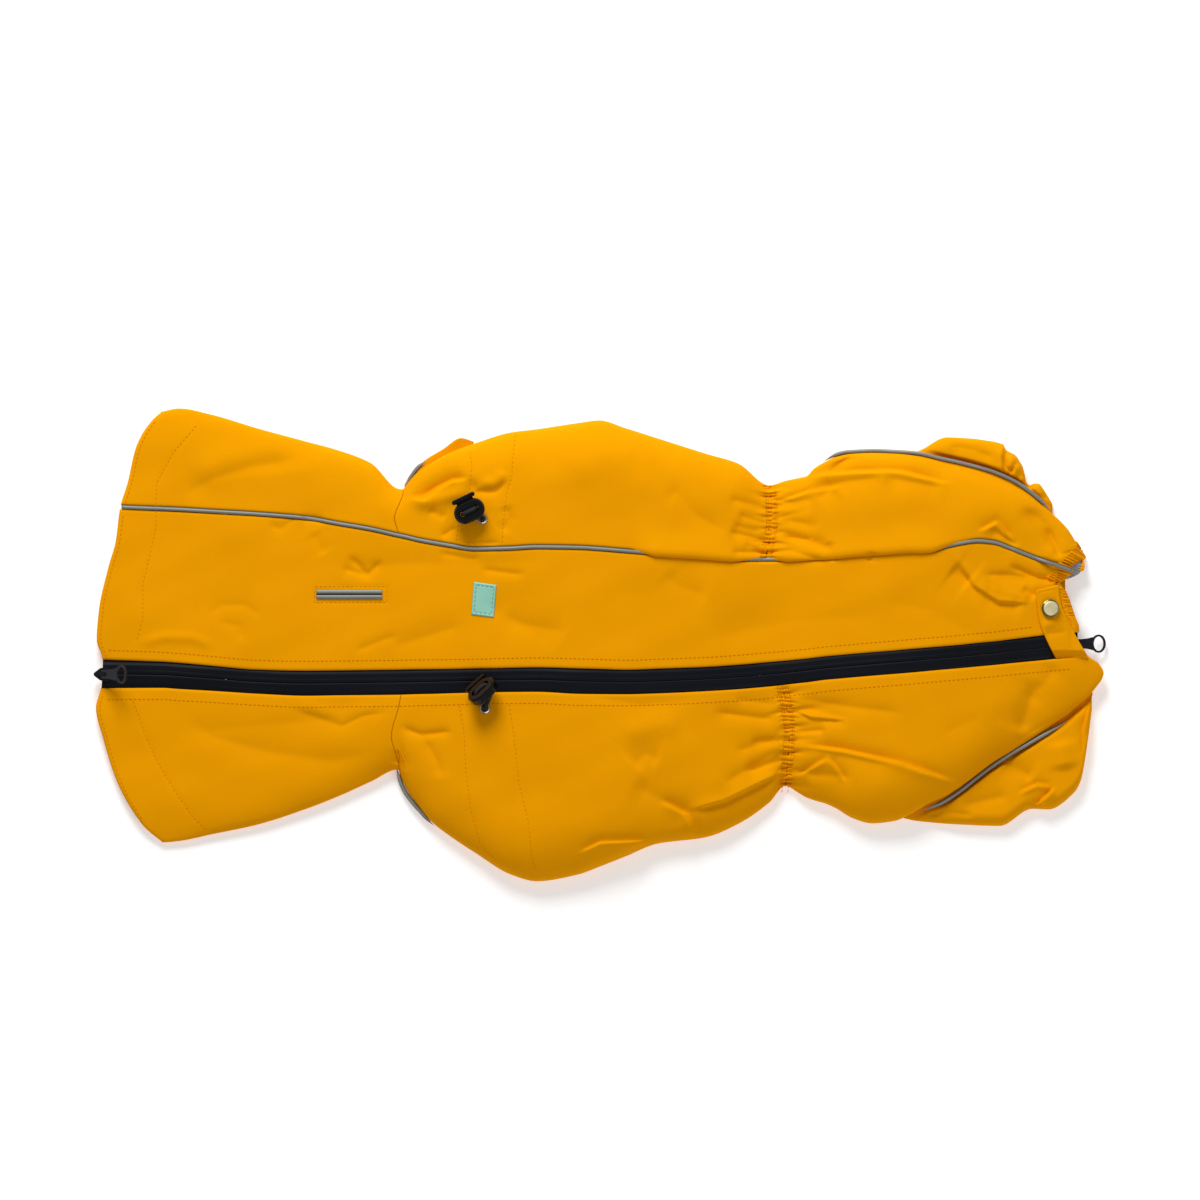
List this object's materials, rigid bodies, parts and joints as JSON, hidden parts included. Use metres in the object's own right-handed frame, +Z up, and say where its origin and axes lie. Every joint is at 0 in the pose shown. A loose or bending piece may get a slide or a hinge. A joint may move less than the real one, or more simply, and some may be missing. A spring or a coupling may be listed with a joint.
{
  "type": "dog raincoat",
  "caption": "Amber full-body dog raincoat with a zip along the back, flared collar with drawcord, reflective piping and gathered waist and cuffs, laid flat.",
  "frame": {"origin": "on the table under the middle of the garment's outline", "axes": "+X from the collar to the tail, +Y to the side of the piping, +Z up from the table"},
  "size_m": [0.7083, 0.3308, 0.0406],
  "materials": {
    "shell": "matte amber softshell with a fine weave",
    "piping": "grey reflective tape",
    "zip_tape": "black coated waterproof zip, satin",
    "slider": "charcoal enamel",
    "snap_metal": "pale antique brass",
    "eyelet_metal": "silver plated",
    "cord_lock": "glossy black",
    "drawcord": "black braided elastic cord",
    "label": "mint woven label, bare",
    "mesh_lining": "silver grey mesh"
  },
  "bodies": {
    "garment": {"back_panel": "shell", "collar_side_upper": "shell", "side_front_upper": "shell", "waist_band_upper": "shell", "side_rear_upper": "shell", "collar_side_lower": "shell", "side_front_lower": "shell", "waist_band_lower": "shell", "side_rear_lower": "shell", "zip_tape_upper": "zip_tape", "zip_tape_lower": "zip_tape", "piping_back": "piping", "piping_leg_upper": "piping", "piping_leg_lower": "piping", "piping_neck_upper": "piping", "piping_neck_lower": "piping", "collar_chest": "shell", "hidden_layers_front": "shell", "hidden_layers_rear": "shell", "leg_layer_upper": "shell", "leg_layer_lower": "shell", "neck_layer_upper": "shell", "cuff_upper": "shell", "cuff_lining": "mesh_lining", "tail_hem": "shell", "snap_tab": "shell", "snap_cap": "snap_metal", "label": "label", "welt_upper": "piping", "welt_lower": "piping", "eyelet_upper": "eyelet_metal", "eyelet_lower": "eyelet_metal", "cord_lock_upper": "cord_lock", "cord_lock_lower": "cord_lock", "drawcord_upper": "drawcord", "drawcord_lower": "drawcord", "slider_left": "slider", "slider_right": "slider"},
    "left_pull": {"pull_left": "slider"},
    "right_pull": {"pull_right": "slider"},
    "upper_plunger": {"plunger_upper": "cord_lock"},
    "lower_plunger": {"plunger_lower": "cord_lock"}
  },
  "joints": [
    {"name": "pull_left_hinge", "type": "hinge", "parent": "garment", "child": "left_pull", "pos_m": [-0.3477, -0.0208, 0.0106], "axis": [0, -1, 0], "range_deg": [-42, 105]},
    {"name": "pull_right_hinge", "type": "hinge", "parent": "garment", "child": "right_pull", "pos_m": [0.33196, 0.0006, 0.01316], "axis": [0, -1, 0], "range_deg": [0, 24]},
    {"name": "plunger_upper_slide", "type": "slide", "parent": "garment", "child": "upper_plunger", "axis": [0.4384, -0.8988, 0], "range_m": [0, 0.0005], "stiffness_N_per_m": 400},
    {"name": "plunger_lower_slide", "type": "slide", "parent": "garment", "child": "lower_plunger", "axis": [0.4301, -0.4777, 0.766], "range_m": [0, 0.0005], "stiffness_N_per_m": 400}
  ]
}
